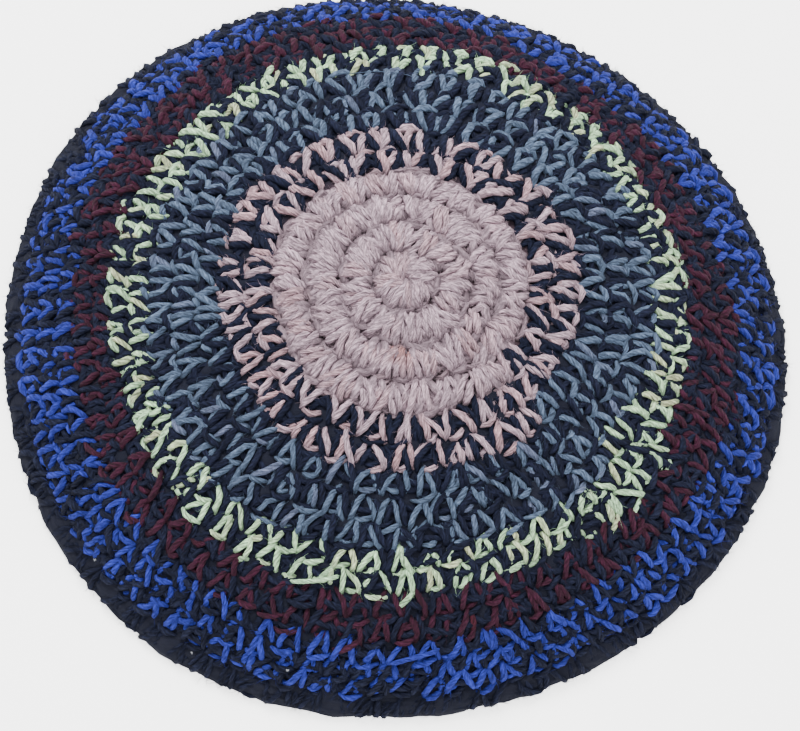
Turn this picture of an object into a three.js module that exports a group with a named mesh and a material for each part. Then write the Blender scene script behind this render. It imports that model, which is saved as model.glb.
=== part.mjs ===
// A crocheted skullcap lying dome up on its rim. Millimetres, +Z up, origin in the middle of
// the rim, in the plane that it rests on. The cap is worked in rounds from the crown out, two
// strands of yarn held together, and each run of rounds in one pair of yarns is its own piece.
import * as THREE from 'three';
import { mergeVertices } from 'three/addons/utils/BufferGeometryUtils.js';

// Sizes of the whole cap
const RIM_RADIUS = 95; // from the crown's axis to the outside of the edging
const CROWN_HEIGHT = 34; // from the surface that the rim rests on to the top of the crown

// The fabric
const FABRIC_THICKNESS = 3.2; // between two ribs
const OUTER_RIB = 0.7; // how far a round swells on the outside
const INNER_RIB = 0.4; // and on the inside
const EDGING_THICKNESS = 4.4; // the last round, rolled to a rope
const EDGING_FLAT = 0.5; // how deep the edging is pressed flat where it rests
const SEAM_GAP = 0.3; // clearance between neighbouring pieces

// The dome falls gently from the crown and turns down near the rim
const CROWN_FALL = { power: 1.5 };
const RIM_FALL = { share: 0.27, power: 10 };

// The rim isn't a true circle: waves in its radius, as shares of RIM_RADIUS
const RIM_WAVES = [
  { count: 3, share: 0.011, turnDeg: 10 },
  { count: 4, share: 0.005, turnDeg: 61 },
];

// Runs of rounds from the crown out. reach is where each ends, as a share of the length of
// the fabric from the crown to the edging.
const RUNS = [
  { name: 'crown_rounds', rounds: 4, reach: 0.315, color: 0xc8aeac },
  { name: 'pink_navy_rounds', rounds: 2, reach: 0.45, color: 0x7d7078 },
  { name: 'slate_navy_rounds', rounds: 3, reach: 0.645, color: 0x546475 },
  { name: 'yellow_navy_rounds', rounds: 2, reach: 0.727, color: 0x83896f },
  { name: 'maroon_navy_rounds', rounds: 3, reach: 0.85, color: 0x3f1c2b },
  { name: 'blue_navy_rounds', rounds: 3, reach: 1, color: 0x2a4090 },
];

// No run keeps its distance from the crown all the way round. Each row gives how far the
// outer ends of four runs lie past their reach at one turn, as shares of the same length.
const WANDER_RUNS = RUNS.slice(1, 5);
const WANDER = [
  { turnDeg: 0, ends: [0.015, 0.02, 0.005, 0.015] },
  { turnDeg: 30, ends: [0.015, 0.02, -0.02, -0.03] },
  { turnDeg: 60, ends: [0.01, 0.02, 0.01, -0.035] },
  { turnDeg: 90, ends: [0.01, 0.035, 0.035, 0.015] },
  { turnDeg: 120, ends: [0.005, 0.015, 0, 0.005] },
  { turnDeg: 150, ends: [0.005, -0.015, -0.01, -0.03] },
  { turnDeg: 180, ends: [-0.01, -0.025, -0.005, -0.015] },
  { turnDeg: 210, ends: [-0.02, -0.015, -0.02, 0.005] },
  { turnDeg: 240, ends: [-0.005, -0.005, 0.005, 0.01] },
  { turnDeg: 270, ends: [-0.01, -0.01, 0.005, 0.025] },
  { turnDeg: 300, ends: [-0.015, -0.025, -0.015, 0.015] },
  { turnDeg: 330, ends: [0, -0.01, 0.005, 0.015] },
];
const EDGING_COLOR = 0x1a1f2e;
const WOOL_ROUGHNESS = 0.95;

// Section of one round, as shares of its width and of the rib's height
const OUTER_RIB_SHAPE = [
  { along: 0, lift: 0 },
  { along: 0.2, lift: 0.75 },
  { along: 0.5, lift: 1 },
  { along: 0.8, lift: 0.75 },
];
const INNER_RIB_SHAPE = [
  { along: 0, lift: 0 },
  { along: 0.5, lift: 1 },
];

// How finely the solids are faceted
const TURN_STEPS = 40;
const EDGING_STEPS = 10;
const DOME_STEPS = 400;

// The middle of the fabric runs from the crown to the middle of the edging
const edgingRadius = EDGING_THICKNESS / 2;
const domeRadius = RIM_RADIUS - edgingRadius;
const domeFoot = edgingRadius - EDGING_FLAT;
const domeRise = CROWN_HEIGHT - OUTER_RIB - FABRIC_THICKNESS / 2 - domeFoot;

function domeHeight(radius) {
  const out = radius / domeRadius;
  const gentle = (1 - RIM_FALL.share) * (1 - out ** CROWN_FALL.power);
  const steep = RIM_FALL.share * (1 - out ** RIM_FALL.power);
  return domeFoot + domeRise * (gentle + steep);
}

// Length of the fabric from the crown to each of a row of radii
function measureDome() {
  const lengths = [0];
  for (let step = 1; step <= DOME_STEPS; step += 1) {
    const from = (domeRadius * (step - 1)) / DOME_STEPS;
    const to = (domeRadius * step) / DOME_STEPS;
    const piece = Math.hypot(to - from, domeHeight(to) - domeHeight(from));
    lengths.push(lengths[step - 1] + piece);
  }
  return lengths;
}

const domeLengths = measureDome();
const fabricLength = domeLengths[DOME_STEPS] - edgingRadius - SEAM_GAP;

// Radius on the dome at a distance along the fabric from the crown
function radiusAt(along) {
  let step = 1;
  while (step < DOME_STEPS && domeLengths[step] < along) step += 1;
  const span = domeLengths[step] - domeLengths[step - 1];
  const part = (along - domeLengths[step - 1]) / span;
  return (domeRadius * (step - 1 + part)) / DOME_STEPS;
}

function waveSum(waves, turn) {
  let sum = 0;
  for (const wave of waves) {
    sum += wave.share * Math.cos(wave.count * (turn - THREE.MathUtils.degToRad(wave.turnDeg)));
  }
  return sum;
}

// The rim's waves grow from nothing at the crown
function waved(radius, turn) {
  return radius * (1 + waveSum(RIM_WAVES, turn) * (radius / RIM_RADIUS) ** 2);
}

// How far one run's outer end lies past its reach at a turn round the crown
function endWander(end, turn) {
  const step = 360 / WANDER.length;
  const place = THREE.MathUtils.euclideanModulo(THREE.MathUtils.radToDeg(turn), 360) / step;
  const row = Math.floor(place) % WANDER.length;
  const next = (row + 1) % WANDER.length;
  const mix = THREE.MathUtils.smoothstep(place - Math.floor(place), 0, 1);
  return THREE.MathUtils.lerp(WANDER[row].ends[end], WANDER[next].ends[end], mix);
}

// How far the fabric at a distance from the crown is shifted towards the rim: nothing at the
// crown and at the edging, and evenly between the ends of the runs
function drift(along, turn) {
  const share = along / fabricLength;
  let from = { reach: 0, wander: 0 };
  for (let end = 0; end < WANDER_RUNS.length; end += 1) {
    const to = { reach: WANDER_RUNS[end].reach, wander: endWander(end, turn) };
    if (share <= to.reach) return fabricLength * between(share, from, to);
    from = to;
  }
  return fabricLength * between(Math.min(share, 1), from, { reach: 1, wander: 0 });
}

function between(share, from, to) {
  const mix = (share - from.reach) / (to.reach - from.reach);
  return THREE.MathUtils.lerp(from.wander, to.wander, mix);
}

// A point of the fabric as worked flat, laid over the dome: its distance from the crown
// along the fabric, the turn round the crown, and its lift off the fabric's middle
function drape(along, turn, lift) {
  const radius = radiusAt(along + drift(along, turn));
  const reach = domeRadius / DOME_STEPS;
  const fall = (domeHeight(radius + reach) - domeHeight(Math.max(radius - reach, 0)))
    / (radius + reach - Math.max(radius - reach, 0));
  const slope = Math.atan(-fall);
  const out = waved(radius + lift * Math.sin(slope), turn);
  const height = domeHeight(radius) + lift * Math.cos(slope);
  return new THREE.Vector3(out * Math.cos(turn), out * Math.sin(turn), height);
}

// Leaves out the triangles that close up to nothing where a lathe meets its axis
function withoutSlivers(geometry) {
  const kept = [];
  const index = geometry.getIndex().array;
  for (let corner = 0; corner < index.length; corner += 3) {
    const [a, b, c] = index.slice(corner, corner + 3);
    if (a !== b && b !== c && c !== a) kept.push(a, b, c);
  }
  geometry.setIndex(kept);
  return geometry;
}

// Turns a closed section round the crown's axis and moves each point to its real place.
// The section's x is the distance out from the crown, and its y is the lift.
function turned(section, place) {
  const lathe = new THREE.LatheGeometry(section, TURN_STEPS);
  lathe.deleteAttribute('normal');
  lathe.deleteAttribute('uv');
  const geometry = withoutSlivers(mergeVertices(lathe));
  const position = geometry.getAttribute('position');
  for (let point = 0; point < position.count; point += 1) {
    const across = position.getX(point);
    const away = -position.getZ(point);
    const moved = place(Math.hypot(across, away), Math.atan2(away, across), position.getY(point));
    position.setXYZ(point, moved.x, moved.y, moved.z);
  }
  geometry.computeVertexNormals();
  return geometry;
}

// One face of a run of rounds, from its inner end to its outer end
function ribbedFace(start, end, rounds, shape, face, rib) {
  const points = [];
  const pitch = (end - start) / rounds;
  for (let round = 0; round < rounds; round += 1) {
    for (const row of shape) {
      points.push(new THREE.Vector2(start + (round + row.along) * pitch, face + rib * row.lift));
    }
  }
  points.push(new THREE.Vector2(end, face));
  return points;
}

function runSection(start, end, rounds) {
  const half = FABRIC_THICKNESS / 2;
  const outside = ribbedFace(start, end, rounds, OUTER_RIB_SHAPE, half, OUTER_RIB);
  const inside = ribbedFace(start, end, rounds, INNER_RIB_SHAPE, -half, -INNER_RIB);
  const section = [...inside, ...outside.reverse()];
  if (start === 0) {
    section[section.length - 1].y = half + OUTER_RIB;
  } else {
    section.push(section[0].clone());
  }
  return section;
}

function edgingSection() {
  const flatHalf = Math.acos(domeFoot / edgingRadius);
  const first = flatHalf - Math.PI / 2;
  const sweep = 2 * (Math.PI - flatHalf);
  const points = [];
  for (let step = 0; step <= EDGING_STEPS; step += 1) {
    const turn = first + (sweep * step) / EDGING_STEPS;
    const out = domeRadius + edgingRadius * Math.cos(turn);
    points.push(new THREE.Vector2(out, domeFoot + edgingRadius * Math.sin(turn)));
  }
  points.push(points[0].clone());
  return points;
}

function edgingPlace(radius, turn, height) {
  const out = waved(radius, turn);
  return new THREE.Vector3(out * Math.cos(turn), out * Math.sin(turn), height);
}

function woolPiece(name, geometry, color) {
  const wool = new THREE.MeshStandardMaterial({ color, roughness: WOOL_ROUGHNESS, metalness: 0 });
  const piece = new THREE.Mesh(geometry, wool);
  piece.name = name;
  return piece;
}

const skullcap = new THREE.Group();
let reached = 0;
for (const run of RUNS) {
  const start = reached === 0 ? 0 : reached + SEAM_GAP / 2;
  const reach = run.reach * fabricLength;
  const end = run.reach < 1 ? reach - SEAM_GAP / 2 : reach;
  const geometry = turned(runSection(start, end, run.rounds), drape);
  skullcap.add(woolPiece(run.name, geometry, run.color));
  reached = reach;
}
skullcap.add(woolPiece('edging', turned(edgingSection(), edgingPlace), EDGING_COLOR));

// The waves push the rim's middle off the crown's axis, and the origin is at the rim's middle
const middle = new THREE.Box3().setFromObject(skullcap).getCenter(new THREE.Vector3());
skullcap.position.set(-middle.x, -middle.y, 0);

export default skullcap;
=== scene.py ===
"""A crocheted wool skullcap, dome up on a pale floor, seen from in front and well above.

Every stitch is modelled from its own strands of yarn, along one spiral from the crown out.
Lengths are in millimetres until a mesh is made, and metres from there on.
"""

import math

import bpy
import numpy as np
from mathutils import Matrix, Vector


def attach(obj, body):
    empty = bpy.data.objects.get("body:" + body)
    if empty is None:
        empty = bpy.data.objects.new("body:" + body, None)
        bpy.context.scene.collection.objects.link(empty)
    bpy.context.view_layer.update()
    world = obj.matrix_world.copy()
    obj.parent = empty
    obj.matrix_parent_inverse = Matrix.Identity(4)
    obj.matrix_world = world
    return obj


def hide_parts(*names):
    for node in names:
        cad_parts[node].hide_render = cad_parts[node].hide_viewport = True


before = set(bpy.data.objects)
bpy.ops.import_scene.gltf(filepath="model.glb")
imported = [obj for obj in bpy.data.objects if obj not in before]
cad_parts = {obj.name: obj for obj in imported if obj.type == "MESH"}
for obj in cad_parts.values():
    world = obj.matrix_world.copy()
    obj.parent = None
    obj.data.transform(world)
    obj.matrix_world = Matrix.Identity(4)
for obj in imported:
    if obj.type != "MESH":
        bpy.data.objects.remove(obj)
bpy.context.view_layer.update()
rng = np.random.default_rng(1807)

MM = 0.001
FULL_TURN = 2 * np.pi

# The dome, as in the CAD
RIM_RADIUS = 95.0
CROWN_HEIGHT = 34.0
FABRIC_THICKNESS = 3.2
OUTER_RIB = 0.7
EDGING_RADIUS = 2.2
EDGING_FLAT = 0.5
SEAM_GAP = 0.3
CROWN_POWER = 1.5
RIM_SHARE = 0.27
RIM_POWER = 10
RIM_WAVES = [(3, 0.011, 10), (4, 0.005, 61)]  # count, share of the radius, turn in degrees

DOME_RADIUS = RIM_RADIUS - EDGING_RADIUS
DOME_FOOT = EDGING_RADIUS - EDGING_FLAT
DOME_RISE = CROWN_HEIGHT - OUTER_RIB - FABRIC_THICKNESS / 2 - DOME_FOOT

# Where four runs of rounds end, as shares of the fabric's length, and how far each end
# lies past that at every step round the crown
RUN_REACH = [0.45, 0.645, 0.727, 0.85]
WANDER_STEP = 30  # degrees
WANDER = np.array(
    [
        [0.015, 0.02, 0.005, 0.015],
        [0.015, 0.02, -0.02, -0.03],
        [0.01, 0.02, 0.01, -0.035],
        [0.01, 0.035, 0.035, 0.015],
        [0.005, 0.015, 0, 0.005],
        [0.005, -0.015, -0.01, -0.03],
        [-0.01, -0.025, -0.005, -0.015],
        [-0.02, -0.015, -0.02, 0.005],
        [-0.005, -0.005, 0.005, 0.01],
        [-0.01, -0.01, 0.005, 0.025],
        [-0.015, -0.025, -0.015, 0.015],
        [0, -0.01, 0.005, 0.015],
    ]
)


def dome_height(radius):
    out = radius / DOME_RADIUS
    gentle = (1 - RIM_SHARE) * (1 - out**CROWN_POWER)
    steep = RIM_SHARE * (1 - out**RIM_POWER)
    return DOME_FOOT + DOME_RISE * (gentle + steep)


DOME_RADII = np.linspace(0, DOME_RADIUS, 401)
DOME_HEIGHTS = dome_height(DOME_RADII)
DOME_LENGTHS = np.concatenate(
    [[0], np.cumsum(np.hypot(np.diff(DOME_RADII), np.diff(DOME_HEIGHTS)))]
)
DOME_LENGTH = DOME_LENGTHS[-1]
FABRIC_LENGTH = DOME_LENGTH - EDGING_RADIUS - SEAM_GAP

# The crown's axis, which the rim's waves set off the middle
AXIS_X = -0.88
AXIS_Y = 0.52

SLOPE_STEP = 0.25  # how far either side of a point its slope is measured
ROLL_RADIUS = 1.45  # of the fabric where it rolls under past the dome's foot
MOST_ROLL = 2.5  # radians
STRAND_LOWEST = 0.85  # height of a strand's middle that lies on the floor
SKIN_LOWEST = 0.02  # height of a strand's skin there, pressed flat


def waved(radius, turn):
    share = sum(s * np.cos(c * (turn - math.radians(d))) for c, s, d in RIM_WAVES)
    return radius * (1 + share * (radius / RIM_RADIUS) ** 2)


def drift(share, turn):
    """How far the fabric is shifted out, evenly between the ends of the runs."""
    place = np.degrees(turn) % 360 / WANDER_STEP
    row = np.floor(place).astype(int) % len(WANDER)
    mix = (place - np.floor(place))[..., None]
    mix = mix * mix * (3 - 2 * mix)
    ends = WANDER[row] * (1 - mix) + WANDER[(row + 1) % len(WANDER)] * mix
    knots = [0, *RUN_REACH, 1]
    values = [np.zeros_like(share), *np.moveaxis(ends, -1, 0), np.zeros_like(share)]
    moved = np.zeros_like(share)
    for step in range(len(knots) - 1):
        part = (share - knots[step]) / (knots[step + 1] - knots[step])
        inside = (part > 0) & (part <= 1)
        value = values[step] + (values[step + 1] - values[step]) * part
        moved = np.where(inside, value, moved)
    return moved


def drape(reach, turn, lift):
    """Points on the dome: reach is the distance from the crown as a share of the fabric's
    length, and what goes past the dome's foot rolls under round the edging."""
    along = FABRIC_LENGTH * (reach + drift(reach, turn))
    flat = np.minimum(along, DOME_LENGTH)
    radius = np.interp(flat, DOME_LENGTHS, DOME_RADII)
    low = np.clip(radius - SLOPE_STEP, 0, None)
    high = radius + SLOPE_STEP
    fall = (dome_height(high) - dome_height(low)) / (high - low)
    slope = np.arctan(-fall) + np.clip((along - DOME_LENGTH) / ROLL_RADIUS, 0, MOST_ROLL)
    out = waved(radius + lift * np.sin(slope), turn)
    height = dome_height(radius) + lift * np.cos(slope)
    return np.stack([out * np.cos(turn) + AXIS_X, out * np.sin(turn) + AXIS_Y, height], -1)


# The spiral of stitches
START_TURN = math.radians(322)  # where the spiral's whole rounds fall
BLUE_ROUND = 13.6  # the round in which the blue begins
EDGE_ROUND = 16.6
LAST_ROUND = 17.6
# Where the blue begins and ends and the edging ends, as shares of the fabric's length
BLUE_STARTS = 0.85
BLUE_ENDS = 0.98
EDGE_ENDS = 1.055
# How far the work reaches from BLUE_STARTS at the start of a blue round, and its gain in one
BLUE_REACH = 0.125
BLUE_GAIN = 0.05

# Rounds worked, and how far out the work has come, as a share of the fabric's length
ROUND_REACH = np.array(
    [
        [0, 0],
        [4, 0.315],
        [6, 0.45],
        [9, 0.643],
        [11, 0.727],
        [BLUE_ROUND, BLUE_STARTS],
        [EDGE_ROUND, 1.0],
        [LAST_ROUND, 1.05],
        [19, 1.09],
    ]
)
# Stitches in a round at some rounds
ROUND_STITCHES = np.array([[0.5, 6], [5, 35], [8, 56], [10, 63], [12, 75], [15, 90], [18, 93]])
COUNTED_AHEAD = 0.08  # how far ahead the stitches in a round are looked up

# Name, first and last round, CAD node that it replaces, and slot
RUNS = [
    ("crown", 0.0, 4.0, "crown_rounds", "pink_wool"),
    ("pink", 4.0, 6.0, "pink_navy_rounds", "pink_wool"),
    ("slate", 6.0, 9.03, "slate_navy_rounds", "slate_wool"),
    ("yellow", 9.03, 11.05, "yellow_navy_rounds", "yellow_wool"),
    ("maroon", 11.05, BLUE_ROUND, "maroon_navy_rounds", "maroon_wool"),
    ("blue", BLUE_ROUND, EDGE_ROUND, "blue_navy_rounds", "blue_wool"),
    ("edging", EDGE_ROUND, LAST_ROUND, "edging", "navy_wool"),
]


def work_spiral():
    """Each stitch's place along the spiral, in rounds, and its width there."""
    made_places = []
    made_widths = []
    place = 0.0
    while place < LAST_ROUND:
        width = 1 / np.interp(place + COUNTED_AHEAD, *ROUND_STITCHES.T)
        made_places.append(place + width / 2)
        made_widths.append(width)
        place += width
    return np.array(made_places), np.array(made_widths)


places, widths = work_spiral()


def spiral_share(place):
    """From 0 in the first round, a ring, to 1 from the fourth on, where it is a spiral."""
    return np.clip((place - 1) / 3, 0, 1)


def outer_edge(place):
    """How many rounds out a row's outer edge lies."""
    spiral = spiral_share(place)
    return (1 - spiral) * (np.floor(place) + 1) + spiral * (place + 0.5)


def inner_edge(place):
    return np.where(place < 1, 0.0, outer_edge(np.maximum(place - 1, 0)))


def lay(home, step, across, lift):
    """A point of the work: the place of its stitch along the spiral in rounds, the step from
    there, across the row from its inner edge (0) to its outer edge (1), and the lift off the
    fabric's middle."""
    inner = inner_edge(home)
    row = inner + (outer_edge(home) - inner) * across + step * spiral_share(home)
    reach = np.interp(row, *ROUND_REACH.T)
    # The last blue rounds end at the same distance all the way round
    worked_on = np.mod(home - BLUE_ROUND, 1)
    tightened = (BLUE_ENDS - BLUE_STARTS) / (BLUE_REACH + BLUE_GAIN * worked_on)
    blue = BLUE_STARTS + (reach - BLUE_STARTS) * tightened
    reach = np.where((home > BLUE_ROUND - 1) & (reach > BLUE_STARTS), blue, reach)
    edge = BLUE_ENDS + (EDGE_ENDS - BLUE_ENDS) * across
    reach = np.maximum(np.where(home > EDGE_ROUND, edge, reach), 0.004)
    points = drape(reach, START_TURN + FULL_TURN * (home + step), lift)
    points[..., 2] = np.maximum(points[..., 2], STRAND_LOWEST)
    return points


# Strands
PLY_LAY = 8.0  # length of yarn in which its two plies go round once
PLY_RELIEF = 0.12
PINK_PLIES = 3
PINK_LAY = 11.0  # the same for the softer pink yarn, whose plies are separate
PINK_PLY_OFF = 0.46  # how far its plies lie off the strand's middle, in strand radii
PINK_PLY_RADIUS = 0.6


def smooth_path(controls, samples):
    """Catmull-Rom through the control points of many paths at once."""
    count = controls.shape[1]
    at = np.linspace(0, count - 1, samples)
    seg = np.minimum(at.astype(int), count - 2)
    f = (at - seg)[None, :, None]
    p1 = controls[:, seg]
    p2 = controls[:, seg + 1]
    p0 = np.where((seg > 0)[None, :, None], controls[:, np.maximum(seg - 1, 0)], 2 * p1 - p2)
    last = np.minimum(seg + 2, count - 1)
    p3 = np.where((seg + 2 < count)[None, :, None], controls[:, last], 2 * p2 - p1)
    return 0.5 * (
        2 * p1
        + (p2 - p0) * f
        + (2 * p0 - 5 * p1 + 4 * p2 - p3) * f**2
        + (3 * p1 - p0 - 3 * p2 + p3) * f**3
    )


def unit(v):
    return v / np.maximum(np.linalg.norm(v, axis=-1, keepdims=True), 1e-9)


def carried_frames(path):
    """Directions across each path that don't twist along it."""
    tangent = unit(np.gradient(path, axis=1))
    middle = path.shape[1] // 2
    side = np.zeros_like(path)
    up = np.array([0, 0, 1.0])
    side[:, middle] = unit(np.cross(up, tangent[:, middle]))

    def carry(step, before):
        t = tangent[:, step]
        s = side[:, before]
        side[:, step] = unit(s - t * (s * t).sum(-1, keepdims=True))

    for step in range(middle + 1, path.shape[1]):
        carry(step, step - 1)
    for step in range(middle - 1, -1, -1):
        carry(step, step + 1)
    return tangent, side, np.cross(tangent, side)


def lengths_along(path):
    steps = np.linalg.norm(np.diff(path, axis=1), axis=-1)
    return np.concatenate([np.zeros((len(path), 1)), np.cumsum(steps, 1)], 1)


def strands(path, gap, phase, twist):
    """Two strands that run together along each path and turn round each other."""
    _, side, up = carried_frames(path)
    turn = phase[:, None] + twist[:, None] * np.linspace(-0.5, 0.5, path.shape[1])[None]
    off = np.cos(turn)[..., None] * side + 0.8 * np.sin(turn)[..., None] * up
    off = off * gap[:, None, None]
    return path + off, path - off


def plied(path, radius):
    """Each pink strand as its plies, wound round each other."""
    _, side, up = carried_frames(path)
    along = lengths_along(path)
    start = rng.random(len(path))[:, None] * FULL_TURN
    made = []
    for ply in range(PINK_PLIES):
        turn = start + along * FULL_TURN / PINK_LAY + ply * FULL_TURN / PINK_PLIES
        off = np.cos(turn)[..., None] * side + np.sin(turn)[..., None] * up
        made.append((path + off * radius[..., None] * PINK_PLY_OFF, radius * PINK_PLY_RADIUS))
    return made


# Meshes
def add_piece(name, mesh, material):
    """An object of a mesh that rides on the cap's one body."""
    mesh.materials.append(material)
    piece = bpy.data.objects.new(name, mesh)
    bpy.context.scene.collection.objects.link(piece)
    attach(piece, "root")
    return piece


def fill_mesh(name, coords, corners, totals):
    """A mesh of points, of the points at its faces' corners, and of each face's corner count."""
    mesh = bpy.data.meshes.new(name)
    mesh.vertices.add(len(coords))
    mesh.vertices.foreach_set("co", coords.ravel())
    mesh.loops.add(len(corners))
    mesh.loops.foreach_set("vertex_index", corners.astype(np.int32))
    mesh.polygons.add(len(totals))
    mesh.polygons.foreach_set("loop_start", (np.cumsum(totals) - totals).astype(np.int32))
    mesh.polygons.foreach_set("loop_total", totals.astype(np.int32))
    mesh.update(calc_edges=True)
    return mesh


def set_attribute(mesh, label, values):
    attribute = mesh.attributes.new(label, "FLOAT", "POINT")
    attribute.data.foreach_set("value", values.astype(np.float32))


def set_smooth(mesh):
    mesh.polygons.foreach_set("use_smooth", np.ones(len(mesh.polygons), dtype=bool))


def tube_skin(path, radius, sides):
    """Vertices of closed tubes along many paths, and the lengths along them."""
    _, side, up = carried_frames(path)
    angle = np.linspace(0, FULL_TURN, sides, endpoint=False) - np.pi / 2
    ring = (
        np.cos(angle)[None, None, :, None] * side[:, :, None]
        + np.sin(angle)[None, None, :, None] * up[:, :, None]
    )
    along = lengths_along(path)
    wound = angle[None, None] - (along * FULL_TURN / PLY_LAY)[..., None]
    swell = 1 + PLY_RELIEF * np.cos(2 * wound)
    verts = path[:, :, None] + ring * (radius[:, :, None] * swell)[..., None]
    verts[..., 2] = np.maximum(verts[..., 2], SKIN_LOWEST)
    return verts, along


def tube_corners(paths, samples, sides):
    """The points at the corners of many tubes' quads, then of the caps at their two ends."""
    first = np.arange(paths)[:, None, None] * samples * sides
    ring = first + np.arange(samples - 1)[None, :, None] * sides
    j = np.arange(sides)[None, None, :]
    k = (j + 1) % sides
    quads = np.stack([ring + j, ring + k, ring + sides + k, ring + sides + j], -1)
    cap = first[:, 0] + np.arange(sides)[None]
    other_cap = cap + (samples - 1) * sides
    return np.concatenate([quads.ravel(), cap[:, ::-1].ravel(), other_cap.ravel()])


def tube_uvs(along, sides):
    """The length along the yarn and the way round it at each quad's corners, and 0 in caps."""
    paths, samples = along.shape
    shape = (paths, samples - 1, sides)
    j = np.arange(sides)
    around = np.broadcast_to(np.stack([j, j + 1, j + 1, j], -1) / sides, (*shape, 4))
    low = np.broadcast_to(along[:, :-1, None], shape)
    high = np.broadcast_to(along[:, 1:, None], shape)
    quads = np.stack([np.stack([low, low, high, high], -1), around], -1)
    return np.concatenate([quads.reshape(-1, 2), np.zeros((2 * paths * sides, 2))])


def make_tubes(name, parts, material):
    """One piece from rows of (path, radius, sides, shade, stain, sunk)."""
    coords, corners, totals, uvs = [], [], [], []
    labels = {"shade": [], "stain": [], "crease_shade_mask": []}
    base = 0
    for path, radius, sides, shade, stain, crease_shade_mask in parts:
        paths, samples = path.shape[:2]
        verts, along = tube_skin(path, np.broadcast_to(radius, (paths, samples)), sides)
        coords.append(verts.reshape(-1, 3))
        corners.append(base + tube_corners(paths, samples, sides))
        totals.append(np.full(paths * (samples - 1) * sides, 4))
        totals.append(np.full(2 * paths, sides))
        uvs.append(tube_uvs(along, sides))
        labels["shade"].append(np.repeat(shade, samples * sides))
        # The stains are the yarn's own marks; the other mask is painted shade deep between stitches
        for label, values in (("stain", stain), ("crease_shade_mask", crease_shade_mask)):
            points = np.broadcast_to(values, (paths, samples)).reshape(-1)
            labels[label].append(np.repeat(points, sides))
        base += paths * samples * sides
    coords, corners, totals, uvs = map(np.concatenate, (coords, corners, totals, uvs))
    mesh = fill_mesh(name, coords * MM, corners, totals)
    mesh.validate()
    layer = mesh.uv_layers.new(name="yarn")
    layer.data.foreach_set("uv", uvs.astype(np.float32).ravel())
    for label, values in labels.items():
        set_attribute(mesh, label, np.concatenate(values))
    set_smooth(mesh)
    return add_piece(name, mesh, material)


# Materials
class Shader:
    """A material whose nodes are made and joined in short calls."""

    def __init__(self, name):
        self.material = bpy.data.materials.new(name)
        self.material.use_nodes = True
        self.material.node_tree.nodes.clear()

    def node(self, kind, **values):
        made = self.material.node_tree.nodes.new(kind)
        for key, value in values.items():
            setattr(made, key, value)
        return made

    def feed(self, socket, value):
        if hasattr(value, "is_output"):
            self.material.node_tree.links.new(value, socket)
        else:
            socket.default_value = value

    def math(self, operation, *inputs):
        made = self.node("ShaderNodeMath", operation=operation)
        for socket, value in zip(made.inputs, inputs):
            self.feed(socket, value)
        return made.outputs[0]

    def mix(self, factor, a, b, blend="MIX"):
        made = self.node("ShaderNodeMix", data_type="RGBA", blend_type=blend)
        self.feed(made.inputs[0], factor)
        self.feed(made.inputs[6], a)
        self.feed(made.inputs[7], b)
        return made.outputs[2]

    def noise(self, scale, detail, vector=None, roughness=0.5):
        made = self.node("ShaderNodeTexNoise")
        if vector is not None:
            self.feed(made.inputs["Vector"], vector)
        self.feed(made.inputs["Scale"], scale)
        self.feed(made.inputs["Detail"], detail)
        self.feed(made.inputs["Roughness"], roughness)
        return made.outputs["Fac"]

    def spread(self, value, low, high):
        made = self.node("ShaderNodeMapRange")
        self.feed(made.inputs["Value"], value)
        self.feed(made.inputs["From Min"], low)
        self.feed(made.inputs["From Max"], high)
        return made.outputs["Result"]

    def attribute(self, label):
        return self.node("ShaderNodeAttribute", attribute_name=label).outputs["Fac"]

    def bump(self, height, strength, distance):
        made = self.node("ShaderNodeBump")
        self.feed(made.inputs["Strength"], strength)
        self.feed(made.inputs["Distance"], distance)
        self.feed(made.inputs["Height"], height)
        return made.outputs[0]

    def finish(self, **values):
        """The surface, from its sockets' values with _ for each space in their names."""
        surface = self.node("ShaderNodeBsdfPrincipled")
        for label, value in values.items():
            self.feed(surface.inputs[label.replace("_", " ")], value)
        output = self.node("ShaderNodeOutputMaterial")
        self.feed(output.inputs[0], surface.outputs[0])
        return self.material


FIBRE_RADIUS = 0.6  # of the cylinder in the noise that the fibres are read from
FIBRE_STRETCH = 0.3  # how slowly that noise changes along the yarn
FIBRE_SHIFT = 37.0  # how far apart in that noise two strands can lie
BUNDLE_RATIO = 2.5  # fibre bundles for each ply
SHEEN_GAIN = 1.3
SHEEN_LIFT = 0.15


def fibres(shader, length, angle, shade):
    """Noise that is long along the yarn and narrow round it."""
    place = shader.node("ShaderNodeCombineXYZ")
    for socket, wave in zip(place.inputs, ("COSINE", "SINE")):
        shader.feed(socket, shader.math("MULTIPLY", shader.math(wave, angle), FIBRE_RADIUS))
    own_place = shader.math("MULTIPLY", shade, FIBRE_SHIFT)
    stretched = shader.math("MULTIPLY", length, FIBRE_STRETCH)
    shader.feed(place.inputs[2], shader.math("ADD", stretched, own_place))
    fine = shader.noise(scale=2.6, detail=3.0, vector=place.outputs[0], roughness=0.6)
    return shader.spread(fine, low=0.36, high=0.66)


def bundled(shader, angle, power):
    """1 on the middle of each rounded bundle, and 0 in the groove at every half turn."""
    return shader.math("POWER", shader.math("ABSOLUTE", shader.math("SINE", angle)), power)


def darkened(shader, layers):
    """A grey that each layer darkens: its value, its gain, and what is left where it is 0."""
    bright = 1.0
    for value, gain, rest in layers:
        bright = shader.math("MULTIPLY", shader.math("MULTIPLY_ADD", value, gain, rest), bright)
    grey = shader.node("ShaderNodeCombineColor")
    for socket in grey.inputs[:3]:
        shader.feed(socket, bright)
    return grey.outputs[0]


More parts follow.
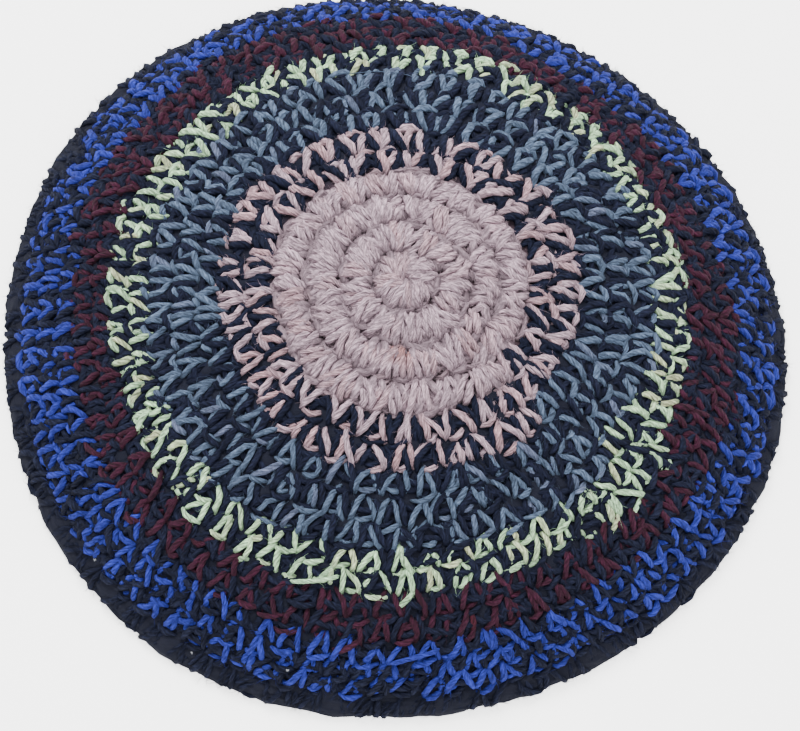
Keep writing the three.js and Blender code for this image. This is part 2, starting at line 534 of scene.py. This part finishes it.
def wool(name, color, stain=None, deep=0.4, lay_mm=8.0, sheen=0.08, gloss=0.15, crease_shade_factor=0.35):
    """Plied wool: plies and fibres that wind round the strand, from the strand's own length
    (U, in millimetres) and the way round it (V, one turn). deep is how dark the painted shade in
    the plies' grooves is, and the last argument sets how bright yarn that lies deep between
    stitches stays under its painted shade."""
    shader = Shader(name)
    split = shader.node("ShaderNodeSeparateXYZ")
    shader.feed(split.inputs[0], shader.node("ShaderNodeUVMap", uv_map="yarn").outputs[0])
    length = split.outputs[0]
    around = split.outputs[1]
    wound = shader.math("SUBTRACT", around, shader.math("DIVIDE", length, lay_mm))
    angle = shader.math("MULTIPLY", wound, FULL_TURN)
    shade = shader.attribute("shade")
    fine = fibres(shader, length, angle, shade)
    # The plies are wound round each other, and each one is split again
    plies = bundled(shader, angle, 0.45)
    bundles = bundled(shader, shader.math("MULTIPLY", angle, BUNDLE_RATIO), 0.6)
    # Slow changes of shade through the whole cap
    where = shader.node("ShaderNodeTexCoord").outputs["Object"]
    slow = shader.noise(scale=60.0, detail=2.0, vector=where)
    # Painted shade in the grooves: the bundles and plies darken the colour there, while the fibres,
    # the random per-strand value and the slow noise are the yarn's own tone
    layers = (
        (fine, 1.05, 0.42),
        (bundles, 0.35, 0.7),
        (shade, 0.3, 0.85),
        (slow, 0.4, 0.8),
        (plies, deep, 1 - deep),
    )
    tone = (*color, 1.0)
    if stain:
        tone = shader.mix(shader.attribute("stain"), tone, (*stain, 1.0))
    tone = shader.mix(1.0, tone, darkened(shader, layers), "MULTIPLY")
    # Painted shade: yarn that lies deep between stitches is darkened towards a dark copy of its own
    # colour
    tone = shader.mix(shader.attribute("crease_shade_mask"), tone, (*[c * crease_shade_factor for c in color], 1.0))

    relief = shader.math("MULTIPLY_ADD", plies, 0.35, shader.math("MULTIPLY", fine, 0.5))
    relief = shader.math("MULTIPLY_ADD", bundles, 0.3, relief)
    return shader.finish(
        Base_Color=tone,
        Roughness=0.88,
        Specular_IOR_Level=gloss,
        Sheen_Weight=sheen,
        Sheen_Roughness=0.5,
        Sheen_Tint=(*[min(1.0, c * SHEEN_GAIN + SHEEN_LIFT) for c in color], 1.0),
        Normal=shader.bump(relief, strength=0.7, distance=0.0007),
    )


def gap_shade_wool(name, inner, outer, edge):
    """Yarn deep between the strands, coloured with painted shade: one tone near the crown and
    another past edge.
    """
    shader = Shader(name)
    grade = shader.spread(shader.attribute("reach"), edge - 0.02, edge + 0.02)
    tone = shader.mix(grade, (*inner, 1), (*outer, 1))
    noise = shader.noise(scale=800, detail=4.0)
    return shader.finish(
        Base_Color=shader.mix(0.8, tone, noise, "MULTIPLY"),
        Roughness=0.95,
        Specular_IOR_Level=0.1,
        Normal=shader.bump(noise, strength=0.8, distance=0.001),
    )


def paper(name):
    white = (1, 1, 1, 1)
    return Shader(name).finish(
        Base_Color=(0.9, 0.9, 0.9, 1), Roughness=0.9, Emission_Color=white, Emission_Strength=2.2
    )


# Each wool's color and its second tone, which stains and toned strands show
PINK = (0.42, 0.305, 0.36)
PEACH = (0.4, 0.125, 0.075)
SLATE = (0.082, 0.117, 0.184)
LAVENDER = (0.13, 0.115, 0.2)
YELLOW = (0.4, 0.61, 0.375)
SAND = (0.5, 0.33, 0.2)
MAROON = (0.035, 0.0063, 0.0185)
RUST = (0.12, 0.018, 0.012)
BLUE = (0.02, 0.031, 0.258)
NAVY = (0.0094, 0.0114, 0.0258)
LINT = (0.6, 0.62, 0.66)
# Painted shade on the fabric body between the strands: a dark mauve near the crown, and past the
# pink a navy as bright as the shaded gaps, lighter than the navy yarn
PINK_GAP_SHADE = (0.13, 0.08, 0.1)
NAVY_GAP_SHADE = (0.025, 0.0275, 0.047)

WOOLS = {
    "pink": wool("pink_wool", PINK, PEACH, deep=0.3, lay_mm=14.0, crease_shade_factor=0.2),
    "slate": wool("slate_wool", SLATE, LAVENDER, deep=0.48),
    "yellow": wool("yellow_wool", YELLOW, SAND, deep=0.5),
    "maroon": wool("maroon_wool", MAROON, RUST),
    "blue": wool("blue_wool", BLUE),
    "navy": wool("navy_wool", NAVY, sheen=0.02, gloss=0.08, crease_shade_factor=0.8),
}
WOOLS["crown"] = WOOLS["pink"]
WOOLS["edging"] = WOOLS["navy"]


# Stitches
# How each run's stitches lie: where a leg starts and ends across its row, how high it
# arches, how high the bar across its foot lies, the yarn's radius, how loosely its strands
# turn, and how deep the ends go
STYLE = {
    "crown": dict(tip=0.04, foot=0.9, arch=1.9, bar=0.2, yarn=1.0, loose=0.3, deep=-1.2),
    "pink": dict(tip=-0.12, foot=0.92, arch=1.65, bar=1.2, yarn=0.93, loose=0.5, deep=-0.4),
    "slate": dict(tip=-0.2, foot=0.9, arch=1.55, bar=1.4, yarn=0.78, loose=0.6, deep=-0.4),
    "yellow": dict(tip=-0.36, foot=0.92, arch=1.55, bar=1.4, yarn=0.76, loose=0.5, deep=-0.4),
    "maroon": dict(tip=-0.28, foot=0.88, arch=1.5, bar=1.4, yarn=0.8, loose=0.6, deep=-0.4),
    "blue": dict(tip=-0.34, foot=0.88, arch=1.5, bar=1.4, yarn=0.82, loose=0.6, deep=-0.4),
    "edging": dict(tip=-0.1, foot=0.96, arch=1.25, bar=1.0, yarn=0.8, loose=0.5, deep=0.2),
}
# The crown's stitches hide others that lie lower and between them
UNDER = dict(tip=0.12, foot=0.86, arch=0.8, bar=0.1, yarn=1.05, deep=-0.9)
UNDER_GAP = 0.9  # from a path to each of its two strands
UNDER_SAMPLES = (7, 7, 5)

ONE_YARN_RUNS = ("crown", "edging")  # both strands in one color
NAVY_YARN = 0.84  # radius
NAVY_SINKS = 0.3  # how far the navy strand lies below the colored one
FAR_SIDE = 0.13  # how much thicker the yarn is at the cap's far side, and thinner in front
STRAND_GAP = 0.47  # from a path to each of its two strands, as a share of their radii's sum
STRAND_SIDES = 6
PLY_SIDES = 5

# The left leg, the right leg and the bar: points along each, and the turn at which the
# colored strand mostly lies, which is inside the legs and on the legs' side of the bar
SHAPE_SAMPLES = (8, 8, 6)
SHAPE_TURNS = (0, math.pi, 0)
INSIDE_SHARE = 0.72

# The navy strand that fills the gaps. It crosses over some legs in the outer runs.
FILLER_LIFT = {"pink": 0.95, "slate": 0.98, "yellow": 0.95, "maroon": 1.25, "blue": 1.25}
FILLER_RADIUS = 0.85
FILLER_SAMPLES = 6

# How much control points scatter: across the stitch, across the row, and in lift
STITCH_SCATTER = (0.035, 0.025, 0.07)
FILLER_SCATTER = (0.12, 0.08, 0.1)

# Yarn deep between stitches gets painted shade: the lift below which it darkens, and the fade, in
# mm
SHADED_BELOW = 1.4
SHADE_FADE = 1.9

# Orange marks on the crown: turn in degrees, distance from the axis in mm, size in mm, depth
MARKS = [
    (276, 17.4, 1.9, 0.95),
    (273, 19.2, 1.2, 0.8),
    (260, 18.3, 2.2, 0.5),
    (281, 19.6, 2.6, 0.35),
]
# Share of the strands of each run that show some of the yarn's second tone, and how much
TONES = {
    "crown": (0.5, 0.2),
    "pink": (0.6, 0.32),
    "slate": (0.2, 0.35),
    "yellow": (0.4, 0.5),
    "maroon": (0.03, 0.3),
    "blue": (0, 0),
    "edging": (0, 0),
}


def jitter(count, size):
    return size * np.clip(rng.normal(0, 1, count), -2, 2)


def control_points(points, width, scatter=(0, 0, 0)):
    """Control points of many paths from (across the stitch, across the row, lift)."""
    ones = np.ones(len(width))
    made = []
    for point in points:
        u, v, lift = (
            value + (jitter(len(width), size) if size else 0) for value, size in zip(point, scatter)
        )
        made.append(np.stack([(u - 0.5) * width, v * ones, lift * ones], -1))
    return np.stack(made, 1)


def stitch_controls(index, style):
    """Control points of the two legs and the bar of each stitch."""
    place = places[index]
    width = widths[index]
    count = len(index)
    # Each stitch comes out of the hole under a stitch of the round before
    before = np.abs(places[None] - (place - 1)[:, None]).argmin(1)
    hole = places[before] + 1 + 0.1 * widths[before]
    apex = 0.446 + 0.55 * (hole - place) / width + jitter(count, 0.07)
    apex = np.where(place < 1.0, 0.5, np.clip(apex, 0.08, 0.92))
    tip = style["tip"] + jitter(count, 0.09)
    foot = style["foot"] + jitter(count, 0.06)
    arch = style["arch"] * (1 + jitter(count, 0.08))
    bar = style["bar"] * (1 + jitter(count, 0.12))
    deep = style["deep"]

    def leg(start, end, bow):
        """One leg from the hole out to its foot."""
        run = end - start
        reach = foot - tip
        points = (
            (start, tip, deep),
            (start + 0.1 * run, tip + 0.1 * reach, 0.45 * arch + 0.4 * deep),
            (start + (0.32 + bow) * run, tip + 0.33 * reach, 0.95 * arch),
            (start + (0.66 + bow) * run, tip + 0.68 * reach, arch),
            (start + 0.93 * run, tip + 0.93 * reach, 0.5 * arch + 0.3 * deep),
            (end, foot, deep),
        )
        return control_points(points, width, STITCH_SCATTER)

    left = leg(apex - 0.05, 0.1 + jitter(count, 0.1), 0.1 + jitter(count, 0.14))
    right = leg(apex + 0.08, 0.9 + jitter(count, 0.1), 0.1 + jitter(count, 0.14))
    # The bar rises from the left leg's foot towards the next stitch
    slant = 0.22 + jitter(count, 0.12)
    middle = 0.42 + jitter(count, 0.12)
    half = 0.36 + jitter(count, 0.07)
    level = foot - 0.02 + jitter(count, 0.07)
    points = (
        (middle - half, level + 0.5 * slant - 0.1, deep),
        (middle - 0.7 * half, level + 0.4 * slant - 0.02, 0.75 * bar),
        (middle, level + 0.08, bar),
        (middle + 0.7 * half, level - 0.4 * slant - 0.02, 0.75 * bar),
        (middle + half, level - 0.5 * slant - 0.1, deep),
    )
    return left, right, control_points(points, width, STITCH_SCATTER)


def lay_path(home, controls, samples):
    """Paths on the dome, and how far down between the stitches each point lies, from 0 to 1, which
    is the mask of the painted shade there.
    """
    path = smooth_path(controls, samples)
    # Mask of painted shade, rising to 1 the deeper the yarn lies between stitches
    crease_shade_mask = np.clip((SHADED_BELOW - path[..., 2]) / SHADE_FADE, 0, 1)
    return lay(home[:, None], path[..., 0], path[..., 1], path[..., 2]), crease_shade_mask


def stains(run, path):
    """How much of its second tone each point of a strand shows."""
    share, depth = TONES[run]
    count = len(path)
    toned = (rng.random(count) < share) * rng.random(count) * depth
    stain = toned[:, None] * np.sin(np.pi * np.linspace(0.1, 0.9, path.shape[1])) ** 2
    mottled = 0.4 + 0.6 * rng.random(count)[:, None]
    for turn, distance, size, full in MARKS:
        x = AXIS_X + distance * math.cos(math.radians(turn))
        y = AXIS_Y + distance * math.sin(math.radians(turn))
        near = np.hypot(path[..., 0] - x, path[..., 1] - y) / size
        stain = np.maximum(stain, full * mottled * np.exp(-(near**2)))
    return stain


def tapered(samples, home, blunt):
    """Thickness along each strand as a share of its yarn's, blunt at the ends."""
    along = np.linspace(0, 1, samples)
    taper = blunt + (1.06 - blunt) * np.sin(np.pi * along**1.15) ** 0.75
    return taper * (1 + FAR_SIDE * np.sin(START_TURN + FULL_TURN * home))[:, None]


def stitch_yarn(run, index):
    """The colored and the navy strands of a run's stitches, as rows for make_tubes."""
    style = STYLE[run]
    one_yarn = run in ONE_YARN_RUNS
    other = style["yarn"] if one_yarn else NAVY_YARN
    count = len(index)
    home = places[index]
    colored = []
    navy = []
    shapes = zip(stitch_controls(index, style), SHAPE_SAMPLES, SHAPE_TURNS, strict=True)
    for controls, samples, turn in shapes:
        path, crease_shade_mask = lay_path(home, controls, samples)
        gap = STRAND_GAP * (style["yarn"] + other) * (1 + jitter(count, 0.06))
        phase = turn + rng.choice([0, np.pi], count, p=[INSIDE_SHARE, 1 - INSIDE_SHARE])
        phase = phase + jitter(count, style["loose"])
        one, two = strands(path, gap, phase, jitter(count, 1.1))
        if not one_yarn:
            lower = NAVY_SINKS + jitter(count, 0.25)
            two[..., 2] = np.maximum(two[..., 2] - lower[:, None], STRAND_LOWEST)
        stain = stains(run, path)
        taper = tapered(samples, home, 0.5 if run == "crown" else 0.2)
        sizes = [
            radius * (1 + jitter(count, 0.08))[:, None] * taper for radius in (style["yarn"], other)
        ]
        for strand, size, rows, in_plies in (
            (one, sizes[0], colored, run in ("crown", "pink")),
            (two, sizes[1], colored if one_yarn else navy, run == "crown"),
        ):
            shade = rng.random(count)
            if in_plies:
                for ply, ply_radius in plied(strand, size):
                    ply_shade = 0.5 * shade + 0.5 * rng.random(count)
                    rows.append((ply, ply_radius, PLY_SIDES, ply_shade, stain, crease_shade_mask))
            else:
                rows.append((strand, size, STRAND_SIDES, shade, stain, crease_shade_mask))
    return colored, navy


def under_yarn(index):
    """The pink that shows in the crown's gaps."""
    count = len(index)
    between = places[index] + 0.5 * widths[index]
    rows = []
    for controls, samples in zip(stitch_controls(index, UNDER), UNDER_SAMPLES, strict=True):
        path, crease_shade_mask = lay_path(between, controls, samples)
        gap = np.full(count, UNDER_GAP)
        for strand in strands(path, gap, jitter(count, 1.0), jitter(count, 1.0)):
            rows.append((strand, UNDER["yarn"], STRAND_SIDES, rng.random(count), 0, crease_shade_mask))
    return rows


def filler_yarn(run, index):
    """The navy that shows in the gaps of the other rounds."""
    high = FILLER_LIFT[run]
    points = ((-0.15, 0.3, 0.2), (0.2, 0.42, high), (0.8, 0.5, high), (1.15, 0.6, 0.2))
    controls = control_points(points, widths[index], FILLER_SCATTER)
    path, crease_shade_mask = lay_path(places[index], controls, FILLER_SAMPLES)
    return path, FILLER_RADIUS, PLY_SIDES, rng.random(len(index)), 0, crease_shade_mask


# Loose fibres
FUZZ_COUNT = {
    "crown": 5000,
    "pink": 2000,
    "slate": 4000,
    "yellow": 1600,
    "maroon": 4500,
    "blue": 6500,
    "edging": 12000,
}
FUZZ_LENGTH = 2.2
NAVY_FUZZ_LENGTH = 1.8
FUZZ_HALF_WIDTH = 0.035


def fuzz(name, yarn, count, length, material):
    """Fine fibres that stand off the yarn, each a narrow curved blade."""
    inner = slice(2, -2)
    found = []
    for path, radius, *_ in yarn:
        tangent, side, up = carried_frames(path)
        radii = np.broadcast_to(radius, path.shape[:2])[..., None]
        joined = np.concatenate([path, side, up, tangent, radii], -1)
        found.append(joined[:, inner].reshape(-1, joined.shape[-1]))
    found = np.concatenate(found)
    pick = found[rng.integers(0, len(found), count)]
    # Four triples of numbers and the radius, in the order in which they were joined
    centre, side, up, tangent, radius = np.split(pick, [3, 6, 9, 12], axis=1)
    angle = rng.uniform(0, FULL_TURN, count)[:, None]
    out = np.cos(angle) * side + np.sin(angle) * up
    out = np.where(out[:, 2:] < -0.2, -out, out)
    along = tangent * rng.choice([-1, 1], count)[:, None]
    root = centre + out * radius * 0.9
    reach = (length * rng.uniform(0.4, 1.3, count))[:, None]
    lean = rng.uniform(0.15, 0.8, count)[:, None]
    heading = unit(along + lean * out + rng.normal(0, 0.25, (count, 3)))
    bend = unit(heading + rng.normal(0, 0.45, (count, 3)))
    middle = root + heading * reach * 0.5
    tip = middle + bend * reach * 0.5
    across = unit(np.cross(heading, rng.normal(0, 1, (count, 3)))) * FUZZ_HALF_WIDTH
    coords = np.stack([root - across, root + across, middle + across, middle - across, tip], 1)
    coords[..., 2] = np.maximum(coords[..., 2], SKIN_LOWEST)
    # A four-sided foot and a three-sided tip on each blade's five points
    base = np.arange(count)[:, None] * 5
    corners = np.concatenate([base + [0, 1, 2, 3], base + [3, 2, 4]], 1)
    totals = np.tile([4, 3], count)
    mesh = fill_mesh(name, coords.reshape(-1, 3) * MM, corners.ravel(), totals)
    set_attribute(mesh, "shade", np.repeat(rng.random(count), 5))
    mesh.uv_layers.new(name="yarn")
    return add_piece(name, mesh, material)


def make_run(run, first, last, node, slot):
    index = np.nonzero((places >= first) & (places < last))[0]
    colored, navy = stitch_yarn(run, index)
    if run == "crown":
        colored += under_yarn(index)
    elif run != "edging":
        navy.append(filler_yarn(run, index))
    yarn = make_tubes(f"{run}_yarn", colored, WOOLS[run])
    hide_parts(node)
    fuzz(f"{run}_fuzz", colored, FUZZ_COUNT[run], FUZZ_LENGTH, WOOLS[run])
    if navy:
        make_tubes(f"{run}_navy_yarn", navy, WOOLS["navy"])
        name = f"{run}_navy_fuzz"
        fuzz(name, navy, FUZZ_COUNT[run], NAVY_FUZZ_LENGTH, WOOLS["navy"])


# Points of the loose strands: distance from the crown as a share, turn in degrees, lift in mm
YELLOW_END = [
    (0.747, 258.2, 0.6),
    (0.742, 259.6, 2.5),
    (0.73, 262.8, 3.1),
    (0.717, 265.8, 2.8),
    (0.709, 267.2, 0.6),
]
BLUE_END = [
    (0.882, 276.6, 0.6),
    (0.874, 277.8, 2.8),
    (0.862, 280.7, 3.2),
    (0.855, 283.5, 2.8),
    (0.853, 285.0, 0.6),
]
SLATE_THREAD = [
    (0.612, 117.0, 1.2),
    (0.622, 113.0, 2.4),
    (0.616, 109.0, 2.5),
    (0.611, 104.0, 2.6),
    (0.601, 98.0, 2.5),
    (0.594, 93.5, 1.2),
]
# Each one's name, wool, slot, radius in mm and points
LOOSE = [
    ("loose_yellow_yarn", "yellow", "yellow_wool", 0.52, YELLOW_END),
    ("loose_blue_yarn", "blue", "blue_wool", 0.55, BLUE_END),
    ("loose_thread", "slate", "slate_wool", 0.1, SLATE_THREAD),
]
LOOSE_SAMPLES = 15
LOOSE_SIDES = 8


def make_loose(name, yarn, slot, radius, points):
    reach, turn, lift = np.array(points, dtype=float).T
    path = smooth_path(drape(reach, np.radians(turn), lift)[None], LOOSE_SAMPLES)
    taper = 0.45 + 0.6 * np.sin(np.pi * np.linspace(0, 1, LOOSE_SAMPLES)) ** 0.5
    shade = np.array([0.5])
    make_tubes(name, [(path, radius * taper[None], LOOSE_SIDES, shade, 0, 0)], WOOLS[yarn])


# White specks: distance from the crown as a share, and turn in degrees
SPECKS = [(0.965, 230.0), (0.985, 249.0), (0.93, 262.5)]
SPECK_LIFT = 2.6
SPECK_SPREAD = 0.18
SPECK_THREADS = 3
SPECK_RADIUS = 0.06


def make_lint():
    rows = []
    for reach, turn in SPECKS:
        middle = drape(np.array(reach), np.radians(turn), np.array(SPECK_LIFT))
        path = middle + rng.normal(0, SPECK_SPREAD, (SPECK_THREADS, 4, 3))
        shade = rng.random(SPECK_THREADS)
        rows.append((smooth_path(path, 7), SPECK_RADIUS, 4, shade, 0, 0))
    make_tubes("lint", rows, wool("lint_wool", LINT))


# The wrong side: a bar of two strands on each stitch, and a leg that slants across each
# round from the round before. Both as (across the stitch, across the row, lift).
BACK_BAR = [
    (-0.15, 0.35, -0.5),
    (0.1, 0.5, -1.15),
    (0.5, 0.55, -1.45),
    (0.9, 0.5, -1.15),
    (1.15, 0.7, -0.5),
]
BACK_LEG = [
    (0.3, -0.3, -0.5),
    (0.4, -0.02, -1.6),
    (0.55, 0.3, -1.7),
    (0.7, 0.6, -0.6),
]
BACK_LEG_SCATTER = (0.08, 0, 0)
BACK_GAP = 1.15  # from the bar's path to each of its strands
BACK_BAR_RADIUS = 1.12
BACK_LEG_RADIUS = 0.95
BACK_BAR_SAMPLES = 6
BACK_LEG_SAMPLES = 5
BACK_SIDES = 4


def make_wrong_side():
    count = len(places)
    controls = control_points(BACK_LEG, widths, BACK_LEG_SCATTER)
    leg, _ = lay_path(places, controls, BACK_LEG_SAMPLES)
    in_navy = rng.random(count) < 0.5
    bar, _ = lay_path(places, control_points(BACK_BAR, widths), BACK_BAR_SAMPLES)
    one, two = strands(bar, np.full(count, BACK_GAP), jitter(count, 0.4), jitter(count, 0.8))

    def row(path, pick, radius):
        return path[pick], radius, BACK_SIDES, rng.random(pick.sum()), 0, 0

    for run, first, last, _, slot in RUNS[:-1]:
        pick = (places >= first) & (places < last)
        colored = [row(one, pick, BACK_BAR_RADIUS)]
        other = [row(two, pick, BACK_BAR_RADIUS)]
        colored.append(row(leg, pick & ~in_navy, BACK_LEG_RADIUS))
        other.append(row(leg, pick & in_navy, BACK_LEG_RADIUS))
        if run == "crown":
            make_tubes(f"{run}_back_yarn", colored + other, WOOLS[run])
        else:
            make_tubes(f"{run}_back_yarn", colored, WOOLS[run])
            make_tubes(f"{run}_back_navy_yarn", other, WOOLS["navy"])


# The body of the fabric, deep between the strands, coloured with painted shade
BODY_TURNS = 200
BODY_MAIN_STEPS = 58
BODY_RIM_STEPS = 14
BODY_LOWEST = 0.15
BODY_ROUGHNESS = 0.13  # how far its points scatter, in mm
BODY_UNDERSIDE = -0.75  # lift of its underside
# Its upper face's lift at some distances from the crown, as shares of the fabric's length
BODY_REACH = [0, 0.3, 0.36, 0.97, 1.01, 1.1]
BODY_LIFT = [-0.1, -0.1, 0.7, 0.9, 1.65, 1.9]
# The edging is a little lumpy: waves round it, and their height
LUMPS = (17, 29, 43)
LUMP_HEIGHT = 0.2
LUMPS_FROM = 0.97
LUMPS_FADE = 0.03
GAP_SHADE_EDGE = 0.32  # where the pink ends


def body_faces():
    """A grid on each face of the fabric, joined at the crown's hole and at the rim."""
    steps = BODY_MAIN_STEPS + BODY_RIM_STEPS
    half = BODY_TURNS * steps
    faces = []
    for row in range(BODY_TURNS):
        a = row * steps
        b = (row + 1) % BODY_TURNS * steps
        for p, q in zip(range(a, a + steps - 1), range(b, b + steps - 1)):
            faces.append((p, p + 1, q + 1, q))
            faces.append((half + p, half + q, half + q + 1, half + p + 1))
        faces.append((a, b, half + b, half + a))
        rim_a = a + steps - 1
        rim_b = b + steps - 1
        faces.append((rim_a, half + rim_a, half + rim_b, rim_b))
    return faces


def make_fabric_body():
    turn = np.linspace(0, FULL_TURN, BODY_TURNS, endpoint=False)
    main = np.linspace(0.004, 0.98, BODY_MAIN_STEPS)
    reach = np.concatenate([main, np.linspace(0.985, 1.056, BODY_RIM_STEPS)])
    grid_turn, grid_reach = np.meshgrid(turn, reach, indexing="ij")
    swell = np.interp(grid_reach, BODY_REACH, BODY_LIFT)
    for lumps in LUMPS:
        wave = np.sin(lumps * grid_turn + rng.uniform(0, FULL_TURN))
        swell += LUMP_HEIGHT * wave * np.clip((grid_reach - LUMPS_FROM) / LUMPS_FADE, 0, 1)
    top = drape(grid_reach, grid_turn, swell)
    top += rng.normal(0, BODY_ROUGHNESS, top.shape)
    top[..., 2] = np.maximum(top[..., 2], BODY_LOWEST)
    under = drape(grid_reach, grid_turn, np.full_like(grid_turn, BODY_UNDERSIDE))
    verts = np.concatenate([top.reshape(-1, 3), under.reshape(-1, 3)]) * MM
    mesh = bpy.data.meshes.new("fabric_body")
    mesh.from_pydata(verts.tolist(), [], body_faces())
    set_attribute(mesh, "reach", np.tile(grid_reach.ravel(), 2))
    set_smooth(mesh)
    # The body's colour is painted shade for the gaps between strands, where real yarn lies in
    # shadow
    gap_shade = gap_shade_wool("gap_shade_wool", PINK_GAP_SHADE, NAVY_GAP_SHADE, GAP_SHADE_EDGE)
    add_piece("fabric_body", mesh, gap_shade)


# Floor, light and camera
CAMERA = dict(lens=98.3, elevation=64.81, distance=0.5131, pan=-0.256, tilt=-1.529, roll=9.23)
CAMERA_TARGET = Vector((AXIS_X * MM, AXIS_Y * MM, 0.0178))


def make_floor():
    bpy.ops.mesh.primitive_plane_add(size=6, location=(0, 0, 0))
    floor = bpy.context.object
    floor.name = "floor"
    floor.data.materials.append(paper("paper"))


def light_world():
    world = bpy.data.worlds.new("studio")
    bpy.context.scene.world = world
    world.use_nodes = True
    background = world.node_tree.nodes["Background"]
    background.inputs["Color"].default_value = (1, 1, 1, 1)
    background.inputs["Strength"].default_value = 1.6


def area_light(name, size, power, location, target=(0, 0, 0.02)):
    data = bpy.data.lights.new(name, "AREA")
    data.size = size
    data.energy = power
    light = bpy.data.objects.new(name, data)
    light.location = location
    aim = Vector(target) - Vector(location)
    light.rotation_euler = aim.to_track_quat("-Z", "Y").to_euler()
    bpy.context.scene.collection.objects.link(light)


def place_camera(lens, elevation, distance, pan, tilt, roll):
    """Aims at the cap from the front, then turns by pan, tilt and roll in degrees."""
    data = bpy.data.cameras.new("camera")
    data.lens = lens
    data.sensor_width = 36
    data.clip_start = 0.02
    data.clip_end = 20
    camera = bpy.data.objects.new("camera", data)
    bpy.context.scene.collection.objects.link(camera)
    bpy.context.scene.camera = camera
    rise = math.radians(elevation)
    forward = Vector((0, math.cos(rise), -math.sin(rise)))
    right = Vector((1, 0, 0))
    up = right.cross(forward)
    place = CAMERA_TARGET - forward * distance
    panned = Matrix.Rotation(math.radians(pan), 3, up)
    forward = panned @ forward
    right = panned @ right
    tilted = Matrix.Rotation(math.radians(tilt), 3, right)
    aim = Matrix((right, tilted @ up, -(tilted @ forward))).transposed()
    turned = aim @ Matrix.Rotation(math.radians(roll), 3, "Z")
    camera.matrix_world = Matrix.Translation(place) @ turned.to_4x4()


for row in RUNS:
    make_run(*row)
for row in LOOSE:
    make_loose(*row)
make_lint()
make_wrong_side()
make_fabric_body()

make_floor()
light_world()
area_light("key", 0.6, 24, (-0.35, 0.5, 1.0))
area_light("fill", 1.2, 7, (0.6, -0.5, 0.9))
place_camera(**CAMERA)
